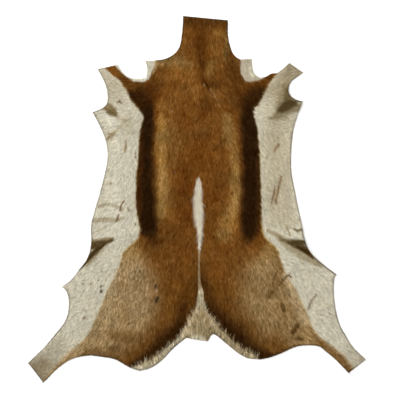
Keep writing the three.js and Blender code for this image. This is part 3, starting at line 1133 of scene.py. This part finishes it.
def find_clumps(x, y, size, rng):
    """For each root, the way to the middle of the clump that it leans to, and the clump's random value."""
    shift = rng.random((CLUMP_LATTICE, CLUMP_LATTICE, 2))
    value = rng.uniform(-1, 1, (CLUMP_LATTICE, CLUMP_LATTICE))
    column, row = np.floor(x / size).astype(int), np.floor(y / size).astype(int)
    best = np.full(len(x), np.inf)
    to_x, to_y, tone = np.zeros((3, len(x)))
    for step_x, step_y in itertools.product((-1, 0, 1), repeat=2):
        i, j = (column + step_x) % CLUMP_LATTICE, (row + step_y) % CLUMP_LATTICE
        away_x = (column + step_x + shift[i, j, 0]) * size - x
        away_y = (row + step_y + shift[i, j, 1]) * size - y
        apart = np.hypot(away_x, away_y)
        closer = apart < best
        best = np.where(closer, apart, best)
        to_x, to_y = np.where(closer, away_x, to_x), np.where(closer, away_y, to_y)
        tone = np.where(closer, value[i, j], tone)
    return to_x, to_y, tone


def hair_angle(x, y, lock, lock_tone, crest, rng):
    """The way each hair points in plan. The locks round the pale rump stand out over the haunches."""
    lock_turn = LOCK_TURN - LOCK_FLARE * (1 - ease(-y, *LOCK_FLARE_END)) + LOCK_SPREAD * lock_tone
    lock_turn += LOCK_SPREAD / 2 * rng.normal(size=len(x))
    lock_angle = np.where(x > CREST_X, 1, -1) * np.radians(lock_turn)
    angle = lay_angle(x, y) + np.radians(TURN_SPREAD) * (1 + crest) * rng.normal(size=len(x))
    return angle * (1 - lock) + lock_angle * lock


def hair_length(x, y, lock, lock_tone, crest, rng):
    """How far each hair runs in plan."""
    count = len(x)
    length = near(LENGTHS, x, y) * (1 + LENGTH_SPREAD * rng.normal(size=count).clip(*MOST_SPREAD))
    lock_length = LOCK_STUB + (LOCK_LENGTH - LOCK_STUB) * ease(-y, *LOCK_GROWTH)
    wisp = LOCK_UNEVEN * lock_tone + WISP * ease(lock_tone, *WISP_CHOICE)
    lock_length *= LOCK_SHORTEST + wisp + STRAY * rng.random(count) ** 3
    length = np.where(lock > 0, lock_length, length)
    crest_length = CREST_FOOT + (CREST_LENGTH - CREST_FOOT) * ease(y, *CREST_GROWTH)
    return np.where(crest, crest_length * rng.uniform(*CREST_UNEVEN, count), length)


def share_left(x, y, run_x, run_y, depth, edge, rng):
    """How much of its run each hair keeps, and which hairs the pale rump's border stops.

    A tip ends close to the cut edge, and the haunches' hair stops at the pale rump.
    """
    apart, out_x, out_y = edge
    outward = run_x * out_x + run_y * out_y
    allowed = apart + EDGE_OVERHANG * rng.random(len(x))
    keep = np.clip(allowed / np.maximum(outward, allowed), SHORTEST_SHARE, 1)
    reached = rump_depth(x + run_x, y + run_y)
    stopped = (depth < 0) & (reached > 0)
    return np.where(stopped, np.clip(-depth / (reached - depth), SHORTEST_SHARE, keep), keep), stopped


def lift_tips(root, normal, run_x, run_y, crest, rng):
    """The runs laid along the skin, and the tips raised off it."""
    run = np.stack([run_x, run_y, np.zeros(len(root))], axis=1)
    run -= normal * (run * normal).sum(axis=1)[:, None]
    uneven = LIFT_SPREAD * rng.normal(size=len(root)).clip(*MOST_SPREAD)
    lift = np.radians(HAIR_LIFT + uneven + CREST_LIFT * crest)
    tip = root + run + normal * (np.linalg.norm(run, axis=1) * np.tan(lift))[:, None]
    tip[:, 2] = np.maximum(tip[:, 2], LOWEST)
    return run, tip


def grow(sheet, edges):
    """All the hairs of the coat: roots, tips and widths in millimetres, and colours."""
    rng = np.random.default_rng(SEED)
    root, normal = plant(sheet, rng)
    x, y = root[:, 0].copy(), root[:, 1].copy()
    count = len(x)
    depth = rump_depth(x, y)
    lock_share = ease(depth, *LOCK_BORDER) * (1 - ease(depth, *LOCK_DEPTH)) * ease(-y, *LOCK_START)
    lock = (rng.random(count) < lock_share).astype(float)
    crest = closeness(CREST_LINE, x, y) < CREST_REACH
    clump_x, clump_y, clump_tone = find_clumps(x, y, CLUMP_SIZE, rng)
    lock_x, lock_y, lock_tone = find_clumps(x, y, LOCK_SIZE, rng)

    angle = hair_angle(x, y, lock, lock_tone, crest, rng)
    length = hair_length(x, y, lock, lock_tone, crest, rng)
    pull = CLUMP_PULL * rng.uniform(*PULL_UNEVEN, count) * (1 - lock)
    lock_pull = LOCK_PULL * lock
    run_x = np.sin(angle) * length + pull * clump_x + lock_pull * lock_x
    run_y = -np.cos(angle) * length + pull * clump_y + lock_pull * lock_y
    edge = edge_distance(edges, x, y)
    apart, out_x, out_y = edge
    keep, stopped = share_left(x, y, run_x, run_y, depth, edge, rng)
    run_x, run_y = run_x * keep, run_y * keep
    run, tip = lift_tips(root, normal, run_x, run_y, crest, rng)

    # A hair takes its colour from the middle of its run, but on the rump and the crest from its root.
    share = np.where((depth > 0) | stopped | crest, 0, 0.5)
    tone = tone_at(x, y, clump_tone * (1 - lock) + lock_tone * lock, rng)
    root_coat = darken_edge_with_shadow(coat_at(x, y), apart, x, y)
    tip_coat = coat_at(x + run_x * share, y + run_y * share)
    tip_coat = darken_edge_with_shadow(tip_coat, apart - np.maximum(run_x * out_x + run_y * out_y, 0), x, y)
    # Painted shade at each hair's root and painted light at its tip; the locks' tips get a warmer tinge
    # instead
    root_painted_shade = ROOT_PAINTED_SHADE + (LOCK_ROOT_SHADE - ROOT_PAINTED_SHADE) * lock
    tip_painted_light_and_tinge = TIP_PAINTED_LIGHT + (np.array(LOCK_TIP) - TIP_PAINTED_LIGHT) * lock[:, None]
    return {
        "root": root,
        "tip": tip,
        "normal": normal,
        "run": run,
        "width": HAIR_WIDTH * rng.uniform(*WIDTH_UNEVEN, count),
        "root_coat": albedo(vary(root_coat, tone) * root_painted_shade[:, None]),
        "tip_coat": albedo(vary(tip_coat, tone) * tip_painted_light_and_tinge),
    }


def make_hair(name, left, right, below, above, hairs, material):
    """The piece of the coat between these sides. Each hair is a closed spike with three sides."""
    x, y = hairs["root"][:, 0], hairs["root"][:, 1]
    here = (x > left) & (x <= right) & (y > below) & (y <= above)
    root, tip, normal, run = (hairs[key][here] for key in ("root", "tip", "normal", "run"))
    count = len(root)
    if count > MOST_HAIRS:
        raise ValueError(f"{name} has {count} hairs")
    half = hairs["width"][here][:, None] / 2
    side = np.cross(run, normal)
    side *= half / np.linalg.norm(side, axis=1)[:, None]
    sunk = root - normal * ROOT_DEPTH
    corners = np.stack([sunk - side, sunk + side, root + normal * half * HAIR_RIDGE, tip], axis=1)
    corners[:, :, 2] = np.maximum(corners[:, :, 2], LOWEST)
    points = corners.reshape(-1, 3) * MM
    spike = np.array([[1, 3, 2], [0, 2, 3], [0, 3, 1], [0, 1, 2]])  # two flanks, underside and foot
    faces = (spike + 4 * np.arange(count)[:, None, None]).reshape(-1, 3)
    mesh = bpy.data.meshes.new(name)
    mesh.from_pydata(points, [], faces)
    colours = np.repeat(hairs["root_coat"][here], 4, axis=0)
    colours[3::4] = hairs["tip_coat"][here]
    paint(mesh, colours)
    unwrap_hair(mesh, points)
    mesh.materials.append(material)
    return add_object(name, mesh)


def unwrap_hair(mesh, points):
    """Hairs lie on the map as they lie in plan."""
    low, high = points[:, :2].min(axis=0), points[:, :2].max(axis=0)
    places = (points[:, :2] - low) / (high - low)
    corners = np.empty(len(mesh.loops), dtype=np.int32)
    mesh.loops.foreach_get("vertex_index", corners)
    layer = mesh.uv_layers.new(name="OFBake")
    layer.uv.foreach_set("vector", places[corners].ravel())


# Materials

def fresh_material(name, roughness, specular):
    material = bpy.data.materials.new(name)
    material.use_nodes = True
    surface = material.node_tree.nodes["Principled BSDF"]
    surface.inputs["Roughness"].default_value = roughness
    surface.inputs["Specular IOR Level"].default_value = specular
    return material, material.node_tree.nodes, material.node_tree.links, surface


def object_noise(nodes, links, scale, detail):
    place = nodes.new("ShaderNodeTexCoord")
    noise = nodes.new("ShaderNodeTexNoise")
    noise.inputs["Scale"].default_value = scale
    noise.inputs["Detail"].default_value = detail
    links.new(place.outputs["Object"], noise.inputs["Vector"])
    return noise


def spread_between(nodes, links, noise, low, high):
    spread = nodes.new("ShaderNodeMapRange")
    spread.inputs["From Min"].default_value, spread.inputs["From Max"].default_value = NOISE_RANGE
    spread.inputs["To Min"].default_value = low
    spread.inputs["To Max"].default_value = high
    links.new(noise.outputs["Fac"], spread.inputs["Value"])
    return spread


def two_colours(nodes, links, noise, dark, light):
    shades = nodes.new("ShaderNodeValToRGB")
    for element, position, colour in zip(shades.color_ramp.elements, RAMP_ENDS, (dark, light)):
        element.position = position
        element.color = (*linear(colour), 1)
    links.new(noise.outputs["Fac"], shades.inputs["Fac"])
    return shades


def make_coat_material():
    """Each hair's own colour, flecked and a little uneven in its gloss."""
    material, nodes, links, surface = fresh_material("coat", roughness=0.7, specular=0.03)
    coat = nodes.new("ShaderNodeAttribute")
    coat.attribute_name = "coat"
    flecks = object_noise(nodes, links, scale=450, detail=3)
    shade = spread_between(nodes, links, flecks, low=0.86, high=1.14)
    flecked = nodes.new("ShaderNodeVectorMath")
    flecked.operation = "SCALE"
    links.new(coat.outputs["Color"], flecked.inputs[0])
    links.new(shade.outputs["Result"], flecked.inputs["Scale"])
    links.new(flecked.outputs["Vector"], surface.inputs["Base Color"])
    gloss = spread_between(nodes, links, flecks, low=0.6, high=0.85)
    links.new(gloss.outputs["Result"], surface.inputs["Roughness"])
    return material


def make_flesh_material():
    """Suede: a short nap, with paler and yellower patches."""
    material, nodes, links, surface = fresh_material("flesh_side", roughness=0.95, specular=0.15)
    patches = object_noise(nodes, links, scale=14, detail=6)
    shades = two_colours(nodes, links, patches, FLESH_YELLOW, FLESH_PALE)
    links.new(shades.outputs["Color"], surface.inputs["Base Color"])
    nap = object_noise(nodes, links, scale=900, detail=4)
    bump = nodes.new("ShaderNodeBump")
    bump.inputs["Strength"].default_value = 0.5
    bump.inputs["Distance"].default_value = NAP_DEPTH
    links.new(nap.outputs["Fac"], bump.inputs["Height"])
    links.new(bump.outputs["Normal"], surface.inputs["Normal"])
    return material


def make_cut_material():
    """The raw cut through the leather."""
    material, nodes, links, surface = fresh_material("cut_edge", roughness=0.9, specular=0.1)
    grain = object_noise(nodes, links, scale=300, detail=2)
    shades = two_colours(nodes, links, grain, CUT_DARK, CUT_PALE)
    links.new(shades.outputs["Color"], surface.inputs["Base Color"])
    return material


# The floor, the light and the camera

def make_floor():
    plane = bmesh.new()
    bmesh.ops.create_grid(plane, x_segments=1, y_segments=1, size=FLOOR_HALF)
    bmesh.ops.translate(plane, verts=plane.verts, vec=(0, 0, -FLOOR_DROP))
    mesh = bpy.data.meshes.new("floor")
    plane.to_mesh(mesh)
    plane.free()
    material, _, _, surface = fresh_material("pale_floor", roughness=0.9, specular=0.1)
    surface.inputs["Base Color"].default_value = FLOOR_WHITE
    mesh.materials.append(material)
    floor = add_object("floor", mesh)


def make_light():
    world = bpy.data.worlds.new("studio")
    world.use_nodes = True
    world.node_tree.nodes["Background"].inputs["Color"].default_value = (1, 1, 1, 1)
    world.node_tree.nodes["Background"].inputs["Strength"].default_value = SKY_STRENGTH
    bpy.context.scene.world = world
    lamp = bpy.data.lights.new("softbox", "AREA")
    lamp.shape = "RECTANGLE"
    lamp.size = SOFTBOX_SIZE
    lamp.size_y = SOFTBOX_SIZE
    lamp.energy = SOFTBOX_POWER
    softbox = add_object("softbox", lamp)
    softbox.location = SOFTBOX_PLACE
    softbox.rotation_euler = np.radians(SOFTBOX_TILT)


def make_camera():
    lens = bpy.data.cameras.new("camera")
    lens.lens = CAMERA_LENS
    lens.sensor_width = CAMERA_SENSOR
    lens.clip_end = CAMERA_REACH
    camera = add_object("camera", lens)
    camera.location = CAMERA_PLACE
    bpy.context.scene.camera = camera


# Making the hide

underside = make_underside(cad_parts["hide"])
edges = cut_edge(underside)
hairs = grow(underside, edges)
coat_material = make_coat_material()
skin = make_skin(underside, edges, (coat_material, make_flesh_material(), make_cut_material()))
coat_pieces = [make_hair(name, *sides, hairs, coat_material) for name, sides in HAIR_PIECES.items()]

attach(skin, "root")
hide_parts("hide")
for hair in coat_pieces:
    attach(hair, "root")
    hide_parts("hide")

make_floor()
make_light()
make_camera()
bpy.context.scene.view_settings.view_transform = "Standard"
